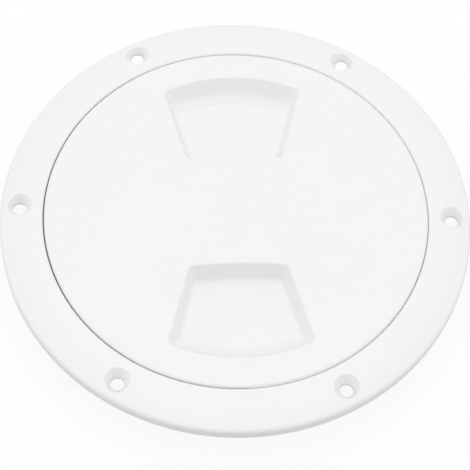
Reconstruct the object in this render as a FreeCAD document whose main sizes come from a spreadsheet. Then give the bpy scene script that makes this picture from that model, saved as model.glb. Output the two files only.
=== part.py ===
import FreeCAD, Part
import math
import os

import Sketcher

# Screw-out deck inspection plate: a mounting ring, a threaded lid and the seal between them.
# Origin: centre of the ring on the deck plane. +Z points up out of the deck, and +X runs
# through the middle of a screw hole. All lengths are in millimetres, all angles in degrees.

DRIVING_SIZES = [
    ("lid_radius", 82.75, "outer radius of the lid, from which the other radii follow"),
    ("lid_gap", 0.3, "gap between the lid and the ring, all round"),
    ("flange_width", 18.45, "width of the ring's flange, from its edge beside the lid outwards"),
    ("edge_height", 5.0, "height of the flange at its outer edge"),
    ("edge_round", 1.9, "rounding of the flange's outer top edge"),
    ("crown_height", 7.3, "height of the flange beside the lid"),
    ("crown_width", 4.95, "width of the flat crown, inside where the flange falls towards its edge"),
    ("inner_edge_round", 1.0, "rounding of the ring's edge beside the lid"),
    ("rim_width", 2.6, "width of the rim that stands on the deck"),
    ("hollow_height", 2.4, "height of the sealant hollow under the flange"),
    ("screw_margin", 8.1, "distance of the screw holes' middles from the flange's outer edge"),
    ("screw_count", 6, "number of screw holes"),
    ("screw_bore_radius", 2.85, "radius of a screw hole"),
    ("sink_radius", 5.45, "radius of a countersink where it meets the flange"),
    ("sink_depth", 3.8, "depth of a countersink"),
    ("sink_rim_height", 7.08, "height at which a countersink has its stated radius"),
    ("collar_top_wall", 2.95, "wall of the collar where it fits the deck's cut-out"),
    ("collar_fit_depth", 5.0, "depth of the collar's fitting length below the deck plane"),
    ("collar_wall", 3.2, "wall of the collar outside the thread's root"),
    ("collar_depth", 20.0, "depth of the collar below the deck plane"),
    ("collar_chamfer", 0.8, "chamfer at the collar's lower edges"),
    ("lid_round", 1.4, "rounding of the lid's top edge"),
    ("lid_rim_thickness", 4.6, "thickness of the lid's rim"),
    ("lid_plate", 3.0, "thickness of the lid's plate"),
    ("lid_turn", 3.1, "angle at which the tightened lid has come to rest"),
    ("lid_play", 0.22, "sideways play of the lid in its thread, taken up to one side"),
    ("lid_play_angle", 40.0, "direction in which that play is taken up, from +X towards +Y"),
    ("skirt_wall", 3.0, "wall of the lid's threaded skirt"),
    ("skirt_depth", 17.0, "depth of the skirt below the deck plane"),
    ("rim_overhang", 5.35, "reach of the lid's rim beyond the outside of its skirt"),
    ("thread_pitch", 5.0, "rise of the thread in one turn"),
    ("thread_height", 1.5, "radial height of each thread"),
    ("thread_crest", 1.6, "width of each thread at its crest"),
    ("thread_flank", 0.6, "axial run of a thread's flank"),
    ("thread_clearance", 0.5, "radial clearance between one thread's crest and the other's root"),
    ("thread_sink", 0.4, "depth to which each thread is rooted in its wall"),
    ("ring_thread_turns", 3.0, "turns of the ring's thread"),
    ("lid_thread_turns", 2.0, "turns of the lid's thread"),
    ("thread_bottom", 17.5, "depth of the ring's lowest thread below the deck plane"),
    ("seal_section", 2.4, "section diameter of the seal"),
    ("seal_inset", 2.55, "distance of the seal's centre line from the lid's edge"),
    ("seal_fit", 0.05, "clearance of the seal at its groove's bottom and at its seat"),
    ("seal_side_fit", 0.15, "clearance of the seal at each side of its groove"),
    ("groove_depth", 1.8, "depth of the seal's groove in the lid's rim"),
    ("recess_margin", 13.15, "distance of a finger recess's outer edge from the lid's edge"),
    ("recess_inner_edge", 25.5, "distance of its inner edge from the lid's centre"),
    ("recess_inner_arc", 180.0, "radius of curvature of its inner edge"),
    ("recess_side_angle", 15.15, "angle of its sides to the line through the lid's centre"),
    ("recess_side_offset", 13.2, "distance of its side lines from the lid's centre"),
    ("recess_corner", 2.6, "corner radius of the recess in plan"),
    ("recess_depth", 9.6, "depth of its floor below the lid's top"),
    ("recess_knee_depth", 7.3, "depth at which its outer wall bends"),
    ("recess_knee_round", 5.0, "rounding of that bend"),
    ("recess_steep_angle", 60.7, "slope of the outer wall above the bend"),
    ("recess_shallow_angle", 26.0, "slope of the outer wall below the bend"),
    ("recess_draft", 17.0, "lean of the side and inner walls from upright"),
    ("recess_wall", 2.4, "wall of the bowl that carries the recess under the plate"),
    ("recess_floor_round", 2.2, "rounding between the floor and the walls"),
    ("recess_mouth_round", 0.7, "rounding of the edge round the recess's mouth"),
    ("rib_count", 8, "number of ribs under the lid"),
    ("rib_thickness", 2.2, "thickness of a rib"),
    ("rib_depth", 7.0, "depth of the ribs below the plate"),
]


class Size:
    """A number together with the expression that gives it in the document."""

    def __init__(self, value, text):
        self.value = float(value)
        self.text = text

    def __add__(self, other):
        other = as_size(other)
        return Size(self.value + other.value, f"({self.text} + {other.text})")

    def __radd__(self, other):
        return as_size(other) + self

    def __sub__(self, other):
        other = as_size(other)
        return Size(self.value - other.value, f"({self.text} - {other.text})")

    def __rsub__(self, other):
        return as_size(other) - self

    def __mul__(self, other):
        other = as_size(other)
        return Size(self.value * other.value, f"({self.text} * {other.text})")

    def __rmul__(self, other):
        return as_size(other) * self

    def __truediv__(self, other):
        other = as_size(other)
        return Size(self.value / other.value, f"({self.text} / {other.text})")

    def __rtruediv__(self, other):
        return as_size(other) / self

    def __neg__(self):
        return Size(-self.value, f"(0 - {self.text})")


def as_size(number):
    """Gives a plain number as a size."""
    if isinstance(number, Size):
        return number
    return Size(number, repr(number))


def sine(angle):
    return Size(math.sin(math.radians(angle.value)), f"sin({angle.text})")


def cosine(angle):
    return Size(math.cos(math.radians(angle.value)), f"cos({angle.text})")


def tangent(angle):
    return Size(math.tan(math.radians(angle.value)), f"tan({angle.text})")


# Lengths closer than this count as the same, and cutting solids overshoot by CUT_OVER
SAME_LENGTH = 0.01
CUT_OVER = as_size(1)

# Turns of the two finger recesses about the lid's centre
RECESS_TURNS = {"far": 0, "near": 180}

# How a sketch numbers the points of a line or arc, its own two axes and its origin
START, END, CENTRE = range(1, 4)
HORIZONTAL_AXIS, VERTICAL_AXIS = range(-1, -3, -1)
ROOT_POINT = (HORIZONTAL_AXIS, START)


doc = FreeCAD.newDocument("deck_inspection_plate")
sheet = doc.addObject("Spreadsheet::Sheet", "Sizes")
size = {}
for row, (alias, number, meaning) in enumerate(DRIVING_SIZES, start=1):
    sheet.set(f"A{row}", meaning)
    sheet.set(f"B{row}", str(number))
    sheet.setAlias(f"B{row}", alias)
    size[alias] = Size(number, f"Sizes.{alias}")
doc.recompute()


# Sizes that follow from the driving ones

lid_bore_radius = size["lid_radius"] + size["lid_gap"]
dome_radius = lid_bore_radius + size["crown_width"]
flange_radius = lid_bore_radius + size["flange_width"]
rim_inner_radius = flange_radius - size["rim_width"]
screw_circle_radius = flange_radius - size["screw_margin"]
collar_radius = lid_bore_radius + size["collar_top_wall"]
core_radius = size["lid_radius"] - size["rim_overhang"]
seal_radius = size["lid_radius"] - size["seal_inset"]
recess_outer_radius = size["lid_radius"] - size["recess_margin"]
lid_crest_radius = core_radius + size["thread_height"]
ring_root_radius = lid_crest_radius + size["thread_clearance"]
ring_crest_radius = ring_root_radius - size["thread_height"]
collar_lower_radius = ring_root_radius + size["collar_wall"]
lid_rim_underside = size["crown_height"] - size["lid_rim_thickness"]
groove_top = lid_rim_underside + size["groove_depth"]
seal_height = groove_top - size["seal_fit"] - size["seal_section"] / 2
seat_height = seal_height - size["seal_section"] / 2 - size["seal_fit"]
groove_half_width = size["seal_section"] / 2 + size["seal_side_fit"]
plate_underside = size["crown_height"] - size["lid_plate"]
skirt_inner_radius = core_radius - size["skirt_wall"]
lid_centre_x = size["lid_play"] * cosine(size["lid_play_angle"])
lid_centre_y = size["lid_play"] * sine(size["lid_play_angle"])


# Helpers for sketches and features


def bind(feature, **bindings):
    """Binds properties of a feature to sizes."""
    for name, wanted in bindings.items():
        feature.setExpression(name, wanted.text)


def new_body(name):
    body = doc.addObject("PartDesign::Body", name)
    body.Label = name
    return body


def new_sketch(body, name, plane, height=None):
    """Adds a sketch on one of the body's own planes, raised to a height if one is given."""
    sketch = body.newObject("Sketcher::SketchObject", name)
    support = next(item for item in body.Origin.OriginFeatures if item.Role == plane)
    sketch.AttachmentSupport = [(support, "")]
    sketch.MapMode = "FlatFace"
    if height is not None:
        sketch.setExpression("AttachmentOffset.Base.z", height.text)
    return sketch


def dimension(sketch, name, kind, references, wanted):
    """Adds a named dimension to a sketch and binds it to a size."""
    number = math.radians(wanted.value) if kind == "Angle" else wanted.value
    index = sketch.addConstraint(Sketcher.Constraint(kind, *references, number))
    sketch.renameConstraint(index, name)
    sketch.setExpression(f"Constraints.{name}", wanted.text)


def place_point(sketch, name, geometry, which, across, up):
    """Fixes a point of a sketch at two sizes from the sketch's origin."""
    if across.value == 0:
        sketch.addConstraint(Sketcher.Constraint("PointOnObject", geometry, which, VERTICAL_AXIS))
    else:
        dimension(sketch, f"{name}_across", "DistanceX", (*ROOT_POINT, geometry, which), across)
    if up.value == 0:
        sketch.addConstraint(Sketcher.Constraint("PointOnObject", geometry, which, HORIZONTAL_AXIS))
    else:
        dimension(sketch, f"{name}_up", "DistanceY", (*ROOT_POINT, geometry, which), up)


def point(across, up):
    return FreeCAD.Vector(across.value, up.value, 0)


def arc_between(start, end, radius, turn):
    """Gives the short arc between two points, which turns "left" or "right" on its way."""
    chord = end - start
    height = math.sqrt(radius ** 2 - (chord.Length / 2) ** 2)
    to_left = FreeCAD.Vector(-chord.y, chord.x, 0) / chord.Length
    to_centre = to_left if turn == "left" else -to_left
    centre = (start + end) / 2 + to_centre * height
    first, last = (start, end) if turn == "left" else (end, start)
    first_bearing = math.atan2(first.y - centre.y, first.x - centre.x)
    last_bearing = math.atan2(last.y - centre.y, last.x - centre.x)
    circle = Part.Circle(centre, FreeCAD.Vector(0, 0, 1), radius)
    return Part.ArcOfCircle(circle, first_bearing, last_bearing)


def draw_outline(sketch, corners, arcs=None):
    """Draws a closed outline through corners given as pairs of sizes.

    The edge that leaves a corner is straight unless arcs holds a radius and a turn for it.
    """
    arcs = arcs or {}
    count = len(corners)
    ends = []
    for index in range(count):
        start = point(*corners[index])
        end = point(*corners[(index + 1) % count])
        if index in arcs:
            radius, turn = arcs[index]
            sketch.addGeometry(arc_between(start, end, radius.value, turn), False)
            ends.append((START, END) if turn == "left" else (END, START))
        else:
            sketch.addGeometry(Part.LineSegment(start, end), False)
            ends.append((START, END))
    for index in range(count):
        following = (index + 1) % count
        sketch.addConstraint(Sketcher.Constraint(
            "Coincident", index, ends[index][1], following, ends[following][0]))
    for index, (across, up) in enumerate(corners):
        place_point(sketch, f"corner{index}", index, ends[index][0], across, up)
    for index, (radius, turn) in arcs.items():
        dimension(sketch, f"radius{index}", "Radius", (index,), radius)


def add_feature(body, kind, name, profile):
    """Adds a feature that takes a sketch as its profile."""
    feature = body.newObject(f"PartDesign::{kind}", name)
    feature.Profile = profile
    profile.Visibility = False
    return feature


def revolve(body, kind, name, sketch):
    """Turns a half-section right round the upright axis."""
    feature = add_feature(body, kind, name, sketch)
    feature.ReferenceAxis = (sketch, ["V_Axis"])
    feature.Angle = 360
    return feature


def polar_pattern(body, name, features, count):
    """Repeats features evenly round the upright axis."""
    pattern = body.newObject("PartDesign::PolarPattern", name)
    pattern.Originals = features
    axis = next(item for item in body.Origin.OriginFeatures if item.Role == "Z_Axis")
    pattern.Axis = (axis, [""])
    pattern.Angle = 360
    bind(pattern, Occurrences=count)
    body.Tip = pattern
    return pattern


def add_thread(body, name, wall_radius, crest_radius, bottom, turns):
    """Winds a ridge of trapezoid section up a wall, rooted a little way into it."""
    outwards = 1 if crest_radius.value > wall_radius.value else -1
    root_radius = wall_radius - outwards * size["thread_sink"]
    flank_slope = size["thread_flank"] / size["thread_height"]
    half_crest = size["thread_crest"] / 2
    half_root = half_crest + size["thread_flank"] + size["thread_sink"] * flank_slope
    sketch = new_sketch(body, f"{name}_section", "XZ_Plane")
    draw_outline(sketch, [
        (root_radius, bottom - half_root),
        (crest_radius, bottom - half_crest),
        (crest_radius, bottom + half_crest),
        (root_radius, bottom + half_root),
    ])
    thread = add_feature(body, "AdditiveHelix", name, sketch)
    thread.ReferenceAxis = (sketch, ["V_Axis"])
    thread.Mode = 0
    bind(thread, Pitch=size["thread_pitch"], Height=turns * size["thread_pitch"])
    return thread


def edges_where(feature, test):
    """Names the edges of a feature's shape that pass a test."""
    shape = feature.Shape
    return [f"Edge{number}" for number, edge in enumerate(shape.Edges, start=1) if test(edge)]


def near(first, second):
    return abs(first - second) < SAME_LENGTH


def in_plane(edge, height):
    """True for an edge that lies level at a height."""
    return near(edge.BoundBox.ZMin, height.value) and near(edge.BoundBox.ZMax, height.value)


def on_circle(edge, radius, height):
    """True for an edge that lies on a circle round the upright axis."""
    if not in_plane(edge, height) or not isinstance(edge.Curve, Part.Circle):
        return False
    centre = edge.Curve.Center
    return near(edge.Curve.Radius, radius.value) and near(math.hypot(centre.x, centre.y), 0)


def round_edges(body, name, base, edge_names, radius):
    """Rounds named edges of the feature that a body ends with."""
    if not edge_names:
        raise RuntimeError(f"{name} finds no edge to round")
    fillet = body.newObject("PartDesign::Fillet", name)
    fillet.Base = (base, edge_names)
    bind(fillet, Radius=radius)
    return fillet


# Mounting ring


def make_flange_ring():
    body = new_body("flange_ring")
    section = new_sketch(body, "ring_half_section", "XZ_Plane")
    chamfer = size["collar_chamfer"]
    collar_bottom = -size["collar_depth"]
    shoulder = collar_lower_radius - collar_radius
    outer_corner = (flange_radius, size["edge_height"])
    corners = [
        (dome_radius, size["crown_height"]),
        (lid_bore_radius, size["crown_height"]),
        (lid_bore_radius, seat_height),
        (ring_root_radius, seat_height),
        (ring_root_radius, collar_bottom),
        (collar_lower_radius - chamfer, collar_bottom),
        (collar_lower_radius, collar_bottom + chamfer),
        (collar_lower_radius, -size["collar_fit_depth"] + shoulder),
        (collar_radius, -size["collar_fit_depth"]),
        (collar_radius, size["hollow_height"]),
        (rim_inner_radius, size["hollow_height"]),
        (rim_inner_radius, as_size(0)),
        (flange_radius, as_size(0)),
        outer_corner,
    ]
    run = flange_radius - dome_radius
    fall = size["crown_height"] - size["edge_height"]
    dome_curvature = (run * run + fall * fall) / (2 * fall)
    draw_outline(section, corners, {corners.index(outer_corner): (dome_curvature, "left")})
    ring = revolve(body, "Revolution", "ring_turned", section)
    doc.recompute()

    outer_edge = edges_where(ring, lambda edge: on_circle(edge, flange_radius, size["edge_height"]))
    edge_rounding = round_edges(body, "outer_edge_rounding", ring, outer_edge, size["edge_round"])
    doc.recompute()
    inner_edge = edges_where(
        edge_rounding, lambda edge: on_circle(edge, lid_bore_radius, size["crown_height"]))
    round_edges(body, "inner_edge_rounding", edge_rounding, inner_edge, size["inner_edge_round"])
    doc.recompute()

    add_thread(body, "ring_thread", ring_root_radius, ring_crest_radius,
               -size["thread_bottom"], size["ring_thread_turns"])
    doc.recompute()

    support = next(item for item in body.Origin.OriginFeatures if item.Role == "XY_Plane")
    bore = body.newObject("PartDesign::SubtractiveCylinder", "screw_bore")
    bore.AttachmentSupport = [(support, "")]
    bore.MapMode = "FlatFace"
    bind(bore, Radius=size["screw_bore_radius"], Height=size["crown_height"])
    bore.setExpression("AttachmentOffset.Base.x", screw_circle_radius.text)
    doc.recompute()

    sink = body.newObject("PartDesign::SubtractiveCone", "screw_countersink")
    sink.AttachmentSupport = [(support, "")]
    sink.MapMode = "FlatFace"
    sink_slope = (size["sink_radius"] - size["screw_bore_radius"]) / size["sink_depth"]
    sink_bottom = size["sink_rim_height"] - size["sink_depth"]
    bind(sink, Radius1=size["screw_bore_radius"], Radius2=size["sink_radius"] + sink_slope * CUT_OVER,
         Height=size["sink_depth"] + CUT_OVER)
    sink.setExpression("AttachmentOffset.Base.x", screw_circle_radius.text)
    sink.setExpression("AttachmentOffset.Base.z", sink_bottom.text)
    doc.recompute()
    polar_pattern(body, "screw_holes", [bore, sink], size["screw_count"])
    doc.recompute()
    return body


# Lid


def recess_plan(sketch, reach, side_offset, inner_edge, inner_arc):
    """Draws the plan of a finger recess with sharp corners.

    The outer edge is an arc round the lid's centre, the two sides lean out from the centre
    line, and the inner edge is an arc that bulges towards the lid's centre.
    """
    lean = math.radians(size["recess_side_angle"].value)
    along = FreeCAD.Vector(math.sin(lean), math.cos(lean), 0)
    beside = FreeCAD.Vector(math.cos(lean), -math.sin(lean), 0) * side_offset.value
    middle = FreeCAD.Vector(0, (inner_edge + inner_arc).value, 0)
    foot = middle.dot(along)
    spread = middle.distanceToLine(beside, along)
    outer_right = beside + along * math.sqrt(reach.value ** 2 - side_offset.value ** 2)
    inner_right = beside + along * (foot - math.sqrt(inner_arc.value ** 2 - spread ** 2))
    outer_left = FreeCAD.Vector(-outer_right.x, outer_right.y, 0)
    inner_left = FreeCAD.Vector(-inner_right.x, inner_right.y, 0)

    outer = sketch.addGeometry(arc_between(outer_right, outer_left, reach.value, "left"), False)
    left = sketch.addGeometry(Part.LineSegment(outer_left, inner_left), False)
    inner = sketch.addGeometry(arc_between(inner_left, inner_right, inner_arc.value, "left"), False)
    right = sketch.addGeometry(Part.LineSegment(inner_right, outer_right), False)
    edges = [outer, left, inner, right]
    for first, second in zip(edges, edges[1:] + edges[:1]):
        sketch.addConstraint(Sketcher.Constraint("Coincident", first, END, second, START))
    sketch.addConstraint(Sketcher.Constraint("Coincident", outer, CENTRE, *ROOT_POINT))
    sketch.addConstraint(Sketcher.Constraint("PointOnObject", inner, CENTRE, VERTICAL_AXIS))
    sketch.addConstraint(Sketcher.Constraint("Horizontal", left, START, right, END))
    sketch.addConstraint(Sketcher.Constraint("Horizontal", left, END, right, START))
    dimension(sketch, "reach", "Radius", (outer,), reach)
    dimension(sketch, "inner_arc", "Radius", (inner,), inner_arc)
    dimension(sketch, "inner_centre", "DistanceY", (*ROOT_POINT, inner, CENTRE), inner_edge + inner_arc)
    dimension(sketch, "side_offset", "Distance", (*ROOT_POINT, right), side_offset)
    dimension(sketch, "side_angle", "Angle", (right, VERTICAL_AXIS), size["recess_side_angle"])


def make_recess_solid(name, turn, start, wall):
    """Makes the solid that fills a finger recess, grown by a wall, from a start depth down.

    Its sides and inner end lean inwards like a moulding core. Its outer end is turned about
    the lid's centre: steep at first, then bending in an arc to a gentle slope.
    """
    body = new_body(name)
    draft = size["recess_draft"]
    steep = size["recess_steep_angle"]
    shallow = size["recess_shallow_angle"]
    half_bend = (steep - shallow) / 2
    knee_line = (steep + shallow) / 2
    bottom = size["recess_depth"] + wall
    grown = wall / cosine(draft) - start * tangent(draft)
    reach = recess_outer_radius + wall + 2 * CUT_OVER

    plan = new_sketch(body, f"{name}_plan", "XY_Plane", size["crown_height"] - start)
    recess_plan(plan, reach, size["recess_side_offset"] + grown,
                size["recess_inner_edge"] - grown, size["recess_inner_arc"] + grown)
    block = add_feature(body, "Pad", f"{name}_block", plan)
    block.Reversed = True
    bind(block, Length=bottom - start, TaperAngle=-draft)
    doc.recompute()

    knee_radius = (recess_outer_radius - size["recess_knee_depth"] / tangent(steep)
                   + wall * sine(knee_line) / cosine(half_bend))
    knee_height = (size["crown_height"] - size["recess_knee_depth"]
                   - wall * cosine(knee_line) / cosine(half_bend))
    knee_round = size["recess_knee_round"] + wall
    knee_reach = knee_round * tangent(half_bend)
    top = size["crown_height"] - start + CUT_OVER
    low = size["crown_height"] - bottom - CUT_OVER
    beyond = reach + CUT_OVER
    end_wall = new_sketch(body, f"{name}_end_wall", "XZ_Plane")
    draw_outline(end_wall, [
        (knee_radius + (top - knee_height) / tangent(steep), top),
        (knee_radius + knee_reach * cosine(steep), knee_height + knee_reach * sine(steep)),
        (knee_radius - knee_reach * cosine(shallow), knee_height - knee_reach * sine(shallow)),
        (knee_radius - (knee_height - low) / tangent(shallow), low),
        (beyond, low),
        (beyond, top),
    ], {1: (knee_round, "right")})
    trimmed = revolve(body, "Groove", f"{name}_trimmed", end_wall)
    doc.recompute()

    upright_edges = edges_where(trimmed, lambda edge: edge.BoundBox.ZLength > SAME_LENGTH)
    corners = round_edges(body, f"{name}_corners", trimmed, upright_edges, size["recess_corner"])
    doc.recompute()
    floor_edges = edges_where(corners, lambda edge: in_plane(edge, size["crown_height"] - bottom))
    round_edges(body, f"{name}_floor", corners, floor_edges, size["recess_floor_round"])
    doc.recompute()
    body.setExpression("Placement.Rotation.Angle", as_size(turn).text)
    return body


def combine(body, kind, name, tools):
    """Joins other bodies to a body or cuts them from it."""
    boolean = body.newObject("PartDesign::Boolean", name)
    boolean.Type = kind
    boolean.setObjects(tools)
    body.Tip = boolean
    return boolean


def make_lid():
    body = new_body("lid")
    section = new_sketch(body, "lid_half_section", "XZ_Plane")
    groove_inner = seal_radius - groove_half_width
    groove_outer = seal_radius + groove_half_width
    skirt_bottom = -size["skirt_depth"]
    draw_outline(section, [
        (as_size(0), size["crown_height"]),
        (as_size(0), plate_underside),
        (skirt_inner_radius, plate_underside),
        (skirt_inner_radius, skirt_bottom),
        (core_radius, skirt_bottom),
        (core_radius, lid_rim_underside),
        (groove_inner, lid_rim_underside),
        (groove_inner, groove_top),
        (groove_outer, groove_top),
        (groove_outer, lid_rim_underside),
        (size["lid_radius"], lid_rim_underside),
        (size["lid_radius"], size["crown_height"]),
    ])
    turned = revolve(body, "Revolution", "lid_turned", section)
    doc.recompute()
    top_edge = edges_where(turned, lambda edge: on_circle(edge, size["lid_radius"], size["crown_height"]))
    round_edges(body, "lid_edge_rounding", turned, top_edge, size["lid_round"])
    doc.recompute()

    rib_plan = new_sketch(body, "rib_plan", "XY_Plane", plate_underside - size["rib_depth"])
    half_rib = size["rib_thickness"] / 2
    rib_reach = skirt_inner_radius + size["skirt_wall"] / 2
    draw_outline(rib_plan, [
        (as_size(0), -half_rib),
        (rib_reach, -half_rib),
        (rib_reach, half_rib),
        (as_size(0), half_rib),
    ])
    rib = add_feature(body, "Pad", "rib", rib_plan)
    bind(rib, Length=size["rib_depth"] + size["lid_plate"] / 2)
    doc.recompute()
    polar_pattern(body, "ribs", [rib], size["rib_count"])
    doc.recompute()

    bowls = [
        make_recess_solid(f"recess_bowl_{side}", turn, size["lid_plate"] / 2, size["recess_wall"])
        for side, turn in RECESS_TURNS.items()
    ]
    combine(body, "Fuse", "with_bowls", bowls)
    doc.recompute()
    hollows = [
        make_recess_solid(f"recess_hollow_{side}", turn, as_size(0), as_size(0))
        for side, turn in RECESS_TURNS.items()
    ]
    recessed = combine(body, "Cut", "with_recesses", hollows)
    doc.recompute()

    def at_mouth(edge):
        reach = math.hypot(edge.Vertexes[0].X, edge.Vertexes[0].Y)
        return in_plane(edge, size["crown_height"]) and reach < (recess_outer_radius + CUT_OVER).value

    round_edges(body, "recess_mouth_rounding", recessed,
                edges_where(recessed, at_mouth), size["recess_mouth_round"])
    doc.recompute()

    lid_thread_bottom = -size["thread_bottom"] + size["thread_pitch"] / 2
    add_thread(body, "lid_thread", core_radius, lid_crest_radius,
               lid_thread_bottom, size["lid_thread_turns"])
    doc.recompute()
    body.setExpression("Placement.Base.x", lid_centre_x.text)
    body.setExpression("Placement.Base.y", lid_centre_y.text)
    body.setExpression("Placement.Rotation.Angle", size["lid_turn"].text)
    return body


# Seal


def make_seal():
    seal = doc.addObject("Part::Torus", "o_ring")
    seal.Label = "o_ring"
    bind(seal, Radius1=seal_radius, Radius2=size["seal_section"] / 2)
    seal.setExpression("Placement.Base.x", lid_centre_x.text)
    seal.setExpression("Placement.Base.y", lid_centre_y.text)
    seal.setExpression("Placement.Base.z", seal_height.text)
    return seal


nodes = [make_flange_ring(), make_lid(), make_seal()]
doc.recompute()

for item in doc.Objects:
    if "Invalid" in item.State or "Error" in item.State:
        raise RuntimeError(f"{item.Label} did not compute: {item.State}")
for node in nodes:
    if node.Shape.isNull() or not node.Shape.isValid():
        raise RuntimeError(f"{node.Label} has no valid shape")
    if len(node.Shape.Solids) != 1:
        raise RuntimeError(f"{node.Label} is {len(node.Shape.Solids)} solids, not one")

os.makedirs("parts", exist_ok=True)
for node in nodes:
    node.Shape.exportStep(f"parts/{node.Label}.step")
    box = node.Shape.BoundBox
    print(f"{node.Label}: volume {node.Shape.Volume:.0f} mm3, "
          f"z {box.ZMin:.2f} to {box.ZMax:.2f}, faces {len(node.Shape.Faces)}")
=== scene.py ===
import math

import bmesh
import bpy
from bpy.props import FloatProperty, FloatVectorProperty, IntProperty, PointerProperty
from mathutils import Matrix, Vector


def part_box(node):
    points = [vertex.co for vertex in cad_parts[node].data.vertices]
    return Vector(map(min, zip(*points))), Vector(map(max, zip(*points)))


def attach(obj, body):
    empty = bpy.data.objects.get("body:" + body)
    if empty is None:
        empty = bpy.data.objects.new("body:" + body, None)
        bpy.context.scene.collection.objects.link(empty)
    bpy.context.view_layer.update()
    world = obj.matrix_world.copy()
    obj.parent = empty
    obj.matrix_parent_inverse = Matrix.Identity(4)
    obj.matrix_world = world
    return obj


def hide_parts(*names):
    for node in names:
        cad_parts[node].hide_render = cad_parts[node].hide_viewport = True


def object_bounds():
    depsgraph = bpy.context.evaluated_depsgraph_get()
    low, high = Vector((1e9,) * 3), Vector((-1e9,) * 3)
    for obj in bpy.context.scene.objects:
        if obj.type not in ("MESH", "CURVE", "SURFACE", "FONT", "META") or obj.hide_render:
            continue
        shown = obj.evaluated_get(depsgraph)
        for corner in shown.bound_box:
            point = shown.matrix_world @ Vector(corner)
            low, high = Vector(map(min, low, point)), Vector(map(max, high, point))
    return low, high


# Screw-out deck inspection plate: the finish of its ring, lid and seal, its stage and its camera.
# Everything is in metres, in the frame's own axes, and stands at rest with the lid screwed in.

bl_info = {
    "name": "Deck inspection plate",
    "version": (1, 0, 0),
    "blender": (4, 5, 0),
    "location": "3D View > Sidebar > Inspection plate",
    "description": "Finishes the pieces of a screw-out deck inspection plate and sets its stage",
    "category": "Object",
}

MILLIMETRE = 0.001
SENSOR_WIDTH = 36.0

# Refractive indices of the styrene plastic and of the nitrile rubber
PLASTIC_IOR = 1.51
RUBBER_IOR = 1.52

# Widths of the plastic's slow changes of tone and gloss, the tone of its darker patches against its colour,
# and the most that its roughness changes either way
TONE_PATCH_WIDTH = 45 * MILLIMETRE
GLOSS_PATCH_WIDTH = 12 * MILLIMETRE
PATCH_TONE = 0.985
GLOSS_CHANGE = 0.035

# Width and greying of the bloom on the rubber, its least and most roughness, and the width and depth of
# its pores
BLOOM_WIDTH = 6 * MILLIMETRE
BLOOM_GREY = 0.012
RUBBER_ROUGHNESS = (0.5, 0.66)
PORE_WIDTH = 0.25 * MILLIMETRE
PORE_DEPTH = 0.01 * MILLIMETRE

# Noise mostly stays between these two values
NOISE_LOW, NOISE_HIGH = 0.3, 0.7

# Numbers of the colour sockets of a mix node, whose names are shared with its other sockets
MIX_SHARE, MIX_FIRST, MIX_SECOND, MIX_RESULT = 0, 6, 7, 2

# Number of straight edges in each round rim of the floor
FLOOR_STEPS = 96

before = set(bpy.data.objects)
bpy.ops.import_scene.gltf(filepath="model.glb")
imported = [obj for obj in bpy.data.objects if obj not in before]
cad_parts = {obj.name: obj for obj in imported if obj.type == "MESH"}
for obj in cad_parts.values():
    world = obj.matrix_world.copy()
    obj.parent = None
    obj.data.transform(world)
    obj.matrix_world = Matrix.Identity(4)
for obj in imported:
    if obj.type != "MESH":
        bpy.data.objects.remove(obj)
cad_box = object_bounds()
seal_low, seal_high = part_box("o_ring")


def to_linear(hex_colour):
    """Turns an sRGB hex colour into the linear numbers that a shader takes."""
    shares = [int(hex_colour[start:start + 2], 16) / 255 for start in (1, 3, 5)]
    return tuple(share / 12.92 if share <= 0.04045 else ((share + 0.055) / 1.055) ** 2.4
                 for share in shares)


def add_node(tree, kind, inputs=None, **settings):
    """Adds a node with its own settings.

    The inputs are sockets by name or number, each with its value or the socket that it is linked from.
    """
    node = tree.nodes.new(kind)
    for name, value in settings.items():
        setattr(node, name, value)
    for name, value in (inputs or {}).items():
        if isinstance(value, bpy.types.NodeSocket):
            tree.links.new(value, node.inputs[name])
        else:
            node.inputs[name].default_value = value
    return node


def new_node_tree(holder):
    """Gives a material or world an empty node tree."""
    holder.use_nodes = True
    holder.node_tree.nodes.clear()
    return holder.node_tree


# Sizes and colours that a user may change


class CameraSettings(bpy.types.PropertyGroup):
    lens: FloatProperty(
        name="Focal length", description="Focal length in millimetres for a sensor 36 mm wide",
        default=118.82, min=1, subtype="DISTANCE_CAMERA", unit="CAMERA")
    azimuth: FloatProperty(
        name="Azimuth", description="Turn of the camera round the plate, from straight in front",
        default=math.radians(-1.464), subtype="ANGLE", unit="ROTATION")
    elevation: FloatProperty(
        name="Elevation", description="Height of the camera above the deck plane, as an angle",
        default=math.radians(60.657), subtype="ANGLE", unit="ROTATION")
    roll: FloatProperty(
        name="Roll", description="Tilt of the camera about its own line of sight",
        default=math.radians(3.0), subtype="ANGLE", unit="ROTATION")
    distance: FloatProperty(
        name="Distance", description="Distance of the camera from the ring's centre, along its sight",
        default=0.67388, min=0.1, subtype="DISTANCE", unit="LENGTH")
    sideways: FloatProperty(
        name="Sideways", description="Place of the camera to the right of the line through the centre",
        default=-0.303 * MILLIMETRE, subtype="DISTANCE", unit="LENGTH")
    upwards: FloatProperty(
        name="Upwards", description="Place of the camera above the line through the centre",
        default=-6.87 * MILLIMETRE, subtype="DISTANCE", unit="LENGTH")


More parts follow.
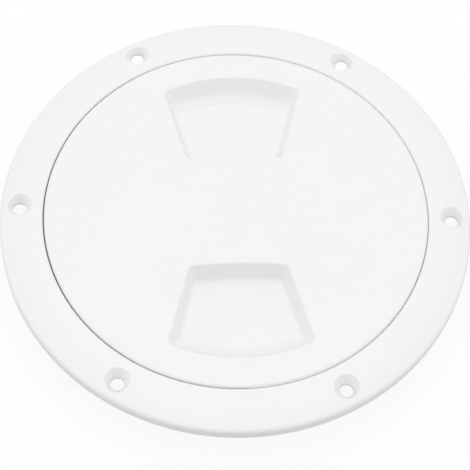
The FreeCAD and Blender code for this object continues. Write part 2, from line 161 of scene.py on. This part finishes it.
class StageSettings(bpy.types.PropertyGroup):
    floor_width: FloatProperty(
        name="Floor width", description="Width of the round floor",
        default=8.0, min=1, subtype="DISTANCE", unit="LENGTH")
    well_radius: FloatProperty(
        name="Well radius", description="Radius of the hole in the floor inside the foot of the collar",
        default=81 * MILLIMETRE, min=0, subtype="DISTANCE", unit="LENGTH")
    floor_colour: FloatVectorProperty(
        name="Floor colour", description="Colour of the pale floor in front of the camera",
        default=to_linear("#FFFFFF"), min=0, max=1, size=3, subtype="COLOR")
    bounce_colour: FloatVectorProperty(
        name="Bounce colour", description="Colour that the floor throws back up at the plate",
        default=to_linear("#C2C2C2"), min=0, max=1, size=3, subtype="COLOR")
    shadow_share: FloatProperty(
        name="Shadow share", description="How much of the plate's shadow the floor shows",
        default=0.12, min=0, max=1, subtype="FACTOR")
    sky_strength: FloatProperty(
        name="Soft light", description="Strength of the even light from all round",
        default=0.72, min=0)
    top_power: FloatProperty(
        name="Top lamp", description="Power of the lamp straight above the plate",
        default=14.4, min=0, subtype="POWER", unit="POWER")
    back_power: FloatProperty(
        name="Back lamp", description="Power of the lamp high behind the plate",
        default=7.7, min=0, subtype="POWER", unit="POWER")
    right_power: FloatProperty(
        name="Right lamp", description="Power of the lamp low on the right",
        default=7.4, min=0, subtype="POWER", unit="POWER")
    left_power: FloatProperty(
        name="Left lamp", description="Power of the lamp low on the left",
        default=8.7, min=0, subtype="POWER", unit="POWER")
    lamp_distance: FloatProperty(
        name="Lamp distance", description="Distance of the lamps from the plate",
        default=3.0, min=0.5, subtype="DISTANCE", unit="LENGTH")
    lamp_width: FloatProperty(
        name="Lamp width", description="Width of each square lamp",
        default=2.0, min=0.1, subtype="DISTANCE", unit="LENGTH")


class PlasticSettings(bpy.types.PropertyGroup):
    ring_colour: FloatVectorProperty(
        name="Ring colour", description="White of the mounting ring's plastic",
        default=to_linear("#F5F5F5"), min=0, max=1, size=3, subtype="COLOR")
    lid_colour: FloatVectorProperty(
        name="Lid colour", description="White of the lid's plastic",
        default=to_linear("#F5F5F5"), min=0, max=1, size=3, subtype="COLOR")
    roughness: FloatProperty(
        name="Roughness", description="Roughness of the satin skin",
        default=0.42, min=0, max=1, subtype="FACTOR")
    grain_width: FloatProperty(
        name="Grain width", description="Width of one grain of the skin",
        default=0.45 * MILLIMETRE, min=0.01 * MILLIMETRE, subtype="DISTANCE", unit="LENGTH")
    grain_depth: FloatProperty(
        name="Grain depth", description="Depth of one grain of the skin",
        default=0.05 * MILLIMETRE, min=0, subtype="DISTANCE", unit="LENGTH")


class SealSettings(bpy.types.PropertyGroup):
    rubber_colour: FloatVectorProperty(
        name="Rubber colour", description="Black of the seal's rubber",
        default=to_linear("#1C1C1D"), min=0, max=1, size=3, subtype="COLOR")
    section: FloatProperty(
        name="Section", description="Diameter of the seal's round section",
        default=seal_high.z - seal_low.z, min=0, subtype="DISTANCE", unit="LENGTH")
    flash_height: FloatProperty(
        name="Flash height", description="Height of the thin ridge where the halves of the mould met",
        default=0.06 * MILLIMETRE, min=0, subtype="DISTANCE", unit="LENGTH")
    flash_width: FloatProperty(
        name="Flash width", description="Width of that ridge",
        default=0.3 * MILLIMETRE, min=0, subtype="DISTANCE", unit="LENGTH")
    steps_round: IntProperty(
        name="Steps round", description="Number of steps in which the seal goes round", default=256, min=16)
    steps_across: IntProperty(
        name="Steps across", description="Number of steps round the seal's section", default=48, min=12)


class PlateSettings(bpy.types.PropertyGroup):
    camera: PointerProperty(name="Camera", description="Where the camera stands", type=CameraSettings)
    stage: PointerProperty(name="Stage", description="The floor and the light", type=StageSettings)
    plastic: PointerProperty(name="Plastic", description="The two white mouldings", type=PlasticSettings)
    seal: PointerProperty(name="Seal", description="The rubber seal", type=SealSettings)


# Materials


def moulded_plastic(name, colour, settings, pattern_offset):
    """White ASA, a styrene plastic that stands the weather, injection moulded in a spark-eroded tool.

    It gives the eye an even, neutral white with a soft satin sheen. Its tone and gloss drift a little over
    a few centimetres, where the melt cooled at its own pace, and a close look shows the tool's grain. The
    real grain is about 0.1 mm wide and 0.01 mm deep, which is too fine to show, so it is drawn four to five
    times as large. The offset keeps the pattern of one moulding from running on into the other.
    """
    material = bpy.data.materials.new(name)
    tree = new_node_tree(material)
    coordinates = add_node(tree, "ShaderNodeTexCoord")
    placed = add_node(tree, "ShaderNodeMapping", {
        "Vector": coordinates.outputs["Object"], "Location": pattern_offset})
    where = placed.outputs["Vector"]

    drift = add_node(tree, "ShaderNodeTexNoise", {
        "Vector": where, "Scale": 1 / TONE_PATCH_WIDTH, "Detail": 2.0, "Roughness": 0.45})
    cooled = tuple(PATCH_TONE * share for share in colour)
    tone = add_node(tree, "ShaderNodeMix", {
        MIX_SHARE: drift.outputs["Fac"], MIX_FIRST: (*colour, 1), MIX_SECOND: (*cooled, 1)},
        data_type="RGBA")

    gloss_drift = add_node(tree, "ShaderNodeTexNoise", {
        "Vector": where, "Scale": 1 / GLOSS_PATCH_WIDTH, "Detail": 3.0, "Roughness": 0.55})
    gloss = add_node(tree, "ShaderNodeMapRange", {
        "Value": gloss_drift.outputs["Fac"], "From Min": NOISE_LOW, "From Max": NOISE_HIGH,
        "To Min": settings.roughness - GLOSS_CHANGE, "To Max": settings.roughness + GLOSS_CHANGE})

    grain = add_node(tree, "ShaderNodeTexNoise", {
        "Vector": where, "Scale": 1 / settings.grain_width, "Detail": 2.0, "Roughness": 0.6})
    skin = add_node(tree, "ShaderNodeBump", {
        "Height": grain.outputs["Fac"], "Distance": settings.grain_depth, "Strength": 1.0})

    plastic = add_node(tree, "ShaderNodeBsdfPrincipled", {
        "Base Color": tone.outputs[MIX_RESULT], "Roughness": gloss.outputs["Result"],
        "Normal": skin.outputs["Normal"], "IOR": PLASTIC_IOR})
    add_node(tree, "ShaderNodeOutputMaterial", {"Surface": plastic.outputs["BSDF"]})
    return material


def moulded_rubber(name, settings):
    """Black nitrile rubber, compression moulded.

    It gives the eye a deep, dull black with a faint bloom that greys it in patches, and a very fine skin.
    """
    material = bpy.data.materials.new(name)
    tree = new_node_tree(material)
    coordinates = add_node(tree, "ShaderNodeTexCoord")
    where = coordinates.outputs["Object"]

    bloom = add_node(tree, "ShaderNodeTexNoise", {
        "Vector": where, "Scale": 1 / BLOOM_WIDTH, "Detail": 4.0, "Roughness": 0.6})
    bloomed = tuple(share + BLOOM_GREY for share in settings.rubber_colour)
    tone = add_node(tree, "ShaderNodeMix", {
        MIX_SHARE: bloom.outputs["Fac"], MIX_FIRST: (*settings.rubber_colour, 1),
        MIX_SECOND: (*bloomed, 1)}, data_type="RGBA")
    dullness = add_node(tree, "ShaderNodeMapRange", {
        "Value": bloom.outputs["Fac"], "From Min": NOISE_LOW, "From Max": NOISE_HIGH,
        "To Min": RUBBER_ROUGHNESS[0], "To Max": RUBBER_ROUGHNESS[1]})

    pores = add_node(tree, "ShaderNodeTexNoise", {
        "Vector": where, "Scale": 1 / PORE_WIDTH, "Detail": 3.0, "Roughness": 0.6})
    skin = add_node(tree, "ShaderNodeBump", {
        "Height": pores.outputs["Fac"], "Distance": PORE_DEPTH, "Strength": 1.0})

    rubber = add_node(tree, "ShaderNodeBsdfPrincipled", {
        "Base Color": tone.outputs[MIX_RESULT], "Roughness": dullness.outputs["Result"],
        "Normal": skin.outputs["Normal"], "IOR": RUBBER_IOR})
    add_node(tree, "ShaderNodeOutputMaterial", {"Surface": rubber.outputs["BSDF"]})
    return material


def give_material(node_name, material):
    """Puts a material in every slot of a CAD node."""
    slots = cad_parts[node_name].material_slots
    if not slots:
        raise RuntimeError(f"{node_name} has no material slot")
    for slot in slots:
        slot.material = material


class PLATE_OT_finish_ring(bpy.types.Operator):
    """Gives the mounting ring its white moulded plastic"""
    bl_idname = "plate.finish_ring"
    bl_label = "Finish the mounting ring"
    bl_options = {"REGISTER", "UNDO"}

    def execute(self, context):
        settings = context.scene.plate_settings.plastic
        give_material("flange_ring", moulded_plastic(
            "white_asa_moulded_ring", settings.ring_colour, settings, (0.0, 0.0, 0.0)))
        return {"FINISHED"}


class PLATE_OT_finish_lid(bpy.types.Operator):
    """Gives the screw-out lid its white moulded plastic"""
    bl_idname = "plate.finish_lid"
    bl_label = "Finish the lid"
    bl_options = {"REGISTER", "UNDO"}

    def execute(self, context):
        settings = context.scene.plate_settings.plastic
        give_material("lid", moulded_plastic(
            "white_asa_moulded_lid", settings.lid_colour, settings, (0.31, 0.17, 0.05)))
        return {"FINISHED"}


# Seal


def seal_tree():
    """Builds the tree that sweeps the seal's section, with the ridges of its mould, round a circle."""
    tree = bpy.data.node_groups.new("rubber_seal", "GeometryNodeTree")
    tree.interface.new_socket("Geometry", in_out="OUTPUT", socket_type="NodeSocketGeometry")
    for name, kind in (("Centre", "NodeSocketVector"), ("Ring Radius", "NodeSocketFloat"),
                       ("Section Radius", "NodeSocketFloat"), ("Flash Height", "NodeSocketFloat"),
                       ("Flash Width", "NodeSocketFloat"), ("Steps Round", "NodeSocketInt"),
                       ("Steps Across", "NodeSocketInt"), ("Rubber", "NodeSocketMaterial")):
        tree.interface.new_socket(name, in_out="INPUT", socket_type=kind)
    given = add_node(tree, "NodeGroupInput").outputs

    circle = add_node(tree, "GeometryNodeCurvePrimitiveCircle", {
        "Resolution": given["Steps Round"], "Radius": given["Ring Radius"]})
    section = add_node(tree, "GeometryNodeCurvePrimitiveCircle", {
        "Resolution": given["Steps Across"], "Radius": given["Section Radius"]})

    # The ridge stands out where the section's outline crosses the plane of the ring
    position = add_node(tree, "GeometryNodeInputPosition").outputs["Position"]
    parts = add_node(tree, "ShaderNodeSeparateXYZ", {"Vector": position})
    off_plane = add_node(tree, "ShaderNodeMath", {0: parts.outputs["Y"]}, operation="ABSOLUTE")
    half_width = add_node(tree, "ShaderNodeMath", {0: given["Flash Width"], 1: 0.5}, operation="MULTIPLY")
    ridge = add_node(tree, "ShaderNodeMapRange", {
        "Value": off_plane.outputs["Value"], "From Min": 0.0, "From Max": half_width.outputs["Value"],
        "To Min": given["Flash Height"], "To Max": 0.0}, interpolation_type="SMOOTHSTEP")
    outwards = add_node(tree, "ShaderNodeVectorMath", {0: position}, operation="NORMALIZE")
    offset = add_node(tree, "ShaderNodeVectorMath", {
        0: outwards.outputs["Vector"], "Scale": ridge.outputs["Result"]}, operation="SCALE")
    ridged = add_node(tree, "GeometryNodeSetPosition", {
        "Geometry": section.outputs["Curve"], "Offset": offset.outputs["Vector"]})

    swept = add_node(tree, "GeometryNodeCurveToMesh", {
        "Curve": circle.outputs["Curve"], "Profile Curve": ridged.outputs["Geometry"]})
    in_place = add_node(tree, "GeometryNodeTransform", {
        "Geometry": swept.outputs["Mesh"], "Translation": given["Centre"]})
    smooth = add_node(tree, "GeometryNodeSetShadeSmooth", {"Geometry": in_place.outputs["Geometry"]})
    real = add_node(tree, "GeometryNodeRealizeInstances", {"Geometry": smooth.outputs["Geometry"]})
    coated = add_node(tree, "GeometryNodeSetMaterial", {
        "Geometry": real.outputs["Geometry"], "Material": given["Rubber"]})
    add_node(tree, "NodeGroupOutput", {"Geometry": coated.outputs["Geometry"]})
    return tree


def make_from_tree(name, tree, values):
    """Makes a plain mesh object from a geometry tree and the values of its named inputs."""
    piece = bpy.data.objects.new(name, bpy.data.meshes.new(name))
    bpy.context.scene.collection.objects.link(piece)
    modifier = piece.modifiers.new(name, "NODES")
    modifier.node_group = tree
    for item in tree.interface.items_tree:
        if item.in_out == "INPUT":
            modifier[item.identifier] = values[item.name]
    graph = bpy.context.evaluated_depsgraph_get()
    made = bpy.data.meshes.new_from_object(piece.evaluated_get(graph), depsgraph=graph)
    piece.modifiers.remove(modifier)
    piece.data = made
    if not made.polygons:
        raise RuntimeError(f"{name} came out empty")
    return piece


class PLATE_OT_make_seal(bpy.types.Operator):
    """Makes the rubber seal that sits in the groove of the lid's rim"""
    bl_idname = "plate.make_seal"
    bl_label = "Make the seal"
    bl_options = {"REGISTER", "UNDO"}

    def execute(self, context):
        settings = context.scene.plate_settings.seal
        centre = (seal_low + seal_high) / 2
        piece = make_from_tree("rubber_seal", seal_tree(), {
            "Centre": centre,
            "Ring Radius": (seal_high.x - seal_low.x - settings.section) / 2,
            "Section Radius": settings.section / 2,
            "Flash Height": settings.flash_height,
            "Flash Width": settings.flash_width,
            "Steps Round": settings.steps_round,
            "Steps Across": settings.steps_across,
            "Rubber": moulded_rubber("black_nitrile_moulded_seal", settings),
        })
        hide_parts("o_ring")
        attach(piece, "seal")
        return {"FINISHED"}


# Stage


def seen_directly(tree):
    """Gives 1 to a ray from the camera, a reflection or a clear body, and 0 to one that carries light."""
    path = add_node(tree, "ShaderNodeLightPath").outputs
    seen = path["Is Camera Ray"]
    for other in ("Is Glossy Ray", "Is Transmission Ray"):
        larger = add_node(tree, "ShaderNodeMath", {0: seen, 1: path[other]}, operation="MAXIMUM")
        seen = larger.outputs["Value"]
    return seen


def pale_floor(settings):
    """A sheet of matt white paper. It reads as white, keeps a faint shadow and is clear from below."""
    material = bpy.data.materials.new("white_matt_paper_floor")
    tree = new_node_tree(material)
    glow = add_node(tree, "ShaderNodeEmission", {"Color": (*settings.floor_colour, 1), "Strength": 1.0})
    paper = add_node(tree, "ShaderNodeBsdfDiffuse", {"Color": (*settings.floor_colour, 1)})
    shown = add_node(tree, "ShaderNodeMixShader", {
        0: settings.shadow_share, 1: glow.outputs["Emission"], 2: paper.outputs["BSDF"]})
    bounce = add_node(tree, "ShaderNodeBsdfDiffuse", {"Color": (*settings.bounce_colour, 1)})
    lit = add_node(tree, "ShaderNodeMixShader", {
        0: seen_directly(tree), 1: bounce.outputs["BSDF"], 2: shown.outputs["Shader"]})
    clear = add_node(tree, "ShaderNodeBsdfTransparent")
    side = add_node(tree, "ShaderNodeNewGeometry").outputs["Backfacing"]
    both = add_node(tree, "ShaderNodeMixShader", {
        0: side, 1: lit.outputs["Shader"], 2: clear.outputs["BSDF"]})
    add_node(tree, "ShaderNodeOutputMaterial", {"Surface": both.outputs["Shader"]})
    return material


def make_floor(settings):
    """Lays the floor under the foot of the collar, with a round well inside it for light from below."""
    height = cad_box[0].z
    shape = bmesh.new()
    rims = []
    for reach in (settings.well_radius, settings.floor_width / 2):
        rims.append([shape.verts.new((reach * math.cos(math.tau * step / FLOOR_STEPS),
                                      reach * math.sin(math.tau * step / FLOOR_STEPS), height))
                     for step in range(FLOOR_STEPS)])
    for step in range(FLOOR_STEPS):
        after = (step + 1) % FLOOR_STEPS
        shape.faces.new((rims[0][step], rims[1][step], rims[1][after], rims[0][after]))
    mesh = bpy.data.meshes.new("floor")
    shape.to_mesh(mesh)
    shape.free()
    mesh.materials.append(pale_floor(settings))
    floor = bpy.data.objects.new("floor", mesh)
    bpy.context.scene.collection.objects.link(floor)


def light_world(settings):
    """Lights the plate evenly from all round, and shows white behind it."""
    world = bpy.data.worlds.new("soft_box_room")
    bpy.context.scene.world = world
    tree = new_node_tree(world)
    soft = add_node(tree, "ShaderNodeBackground", {
        "Color": (1, 1, 1, 1), "Strength": settings.sky_strength})
    white = add_node(tree, "ShaderNodeBackground", {"Color": (1, 1, 1, 1), "Strength": 1.0})
    mixed = add_node(tree, "ShaderNodeMixShader", {
        0: seen_directly(tree), 1: soft.outputs["Background"], 2: white.outputs["Background"]})
    add_node(tree, "ShaderNodeOutputWorld", {"Surface": mixed.outputs["Shader"]})


def direction(around, up_angle):
    """Gives the direction at one angle round the plate, from straight in front, and one above the deck."""
    return Vector((math.sin(around) * math.cos(up_angle), -math.cos(around) * math.cos(up_angle),
                   math.sin(up_angle)))


def hang_lamp(name, around, up_angle, power, settings):
    """Hangs a large square soft lamp that points at the plate, at two angles in degrees."""
    light = bpy.data.lights.new(name, "AREA")
    light.shape = "SQUARE"
    light.size = settings.lamp_width
    light.energy = power
    lamp = bpy.data.objects.new(name, light)
    towards_lamp = direction(math.radians(around), math.radians(up_angle))
    lamp.location = settings.lamp_distance * towards_lamp
    lamp.rotation_euler = towards_lamp.to_track_quat("Z", "Y").to_euler()
    bpy.context.scene.collection.objects.link(lamp)


class PLATE_OT_set_stage(bpy.types.Operator):
    """Lays the pale floor and sets the soft light"""
    bl_idname = "plate.set_stage"
    bl_label = "Set the stage"
    bl_options = {"REGISTER", "UNDO"}

    def execute(self, context):
        settings = context.scene.plate_settings.stage
        make_floor(settings)
        light_world(settings)
        for name, around, up_angle, power in (
            ("top_lamp", 0, 90, settings.top_power),
            ("back_lamp", 180, 65, settings.back_power),
            ("right_lamp", 90, 20, settings.right_power),
            ("left_lamp", -90, 20, settings.left_power),
        ):
            hang_lamp(name, around, up_angle, power, settings)
        context.scene.view_settings.view_transform = "Standard"
        return {"FINISHED"}


class PLATE_OT_set_camera(bpy.types.Operator):
    """Puts the camera where the photograph was taken from"""
    bl_idname = "plate.set_camera"
    bl_label = "Set the camera"
    bl_options = {"REGISTER", "UNDO"}

    def execute(self, context):
        settings = context.scene.plate_settings.camera
        roll = settings.roll
        back = direction(settings.azimuth, settings.elevation)
        level_right = Vector((math.cos(settings.azimuth), math.sin(settings.azimuth), 0))
        level_up = back.cross(level_right)
        right = math.cos(roll) * level_right + math.sin(roll) * level_up
        up = math.cos(roll) * level_up - math.sin(roll) * level_right

        data = bpy.data.cameras.new("photo_camera")
        data.sensor_width = SENSOR_WIDTH
        data.lens = settings.lens
        camera = bpy.data.objects.new("photo_camera", data)
        place = settings.distance * back + settings.sideways * right + settings.upwards * up
        turned = Matrix((right, up, back)).transposed().to_4x4()
        camera.matrix_world = Matrix.Translation(place) @ turned
        context.scene.collection.objects.link(camera)
        context.scene.camera = camera
        return {"FINISHED"}


# Sidebar


class PLATE_PT_sidebar(bpy.types.Panel):
    """Lists the steps that finish the plate, with their sizes and colours"""
    bl_idname = "PLATE_PT_sidebar"
    bl_label = "Deck inspection plate"
    bl_space_type = "VIEW_3D"
    bl_region_type = "UI"
    bl_category = "Inspection plate"

    def draw(self, context):
        settings = context.scene.plate_settings
        for group, operators in (
            (settings.camera, [PLATE_OT_set_camera]),
            (settings.stage, [PLATE_OT_set_stage]),
            (settings.plastic, [PLATE_OT_finish_ring, PLATE_OT_finish_lid]),
            (settings.seal, [PLATE_OT_make_seal]),
        ):
            box = self.layout.box()
            for name in group.bl_rna.properties.keys():
                if name not in ("rna_type", "name"):
                    box.prop(group, name)
            for operator in operators:
                box.operator(operator.bl_idname)


CLASSES = (
    CameraSettings, StageSettings, PlasticSettings, SealSettings, PlateSettings,
    PLATE_OT_set_camera, PLATE_OT_set_stage, PLATE_OT_finish_ring, PLATE_OT_finish_lid, PLATE_OT_make_seal,
    PLATE_PT_sidebar,
)


def register():
    for item in CLASSES:
        bpy.utils.register_class(item)
    bpy.types.Scene.plate_settings = PointerProperty(type=PlateSettings)


def unregister():
    del bpy.types.Scene.plate_settings
    for item in reversed(CLASSES):
        bpy.utils.unregister_class(item)


def main():
    register()
    bpy.ops.plate.set_camera()
    bpy.ops.plate.finish_ring()
    bpy.ops.plate.finish_lid()
    bpy.ops.plate.make_seal()
    bpy.ops.plate.set_stage()


if __name__ == "__main__":
    main()
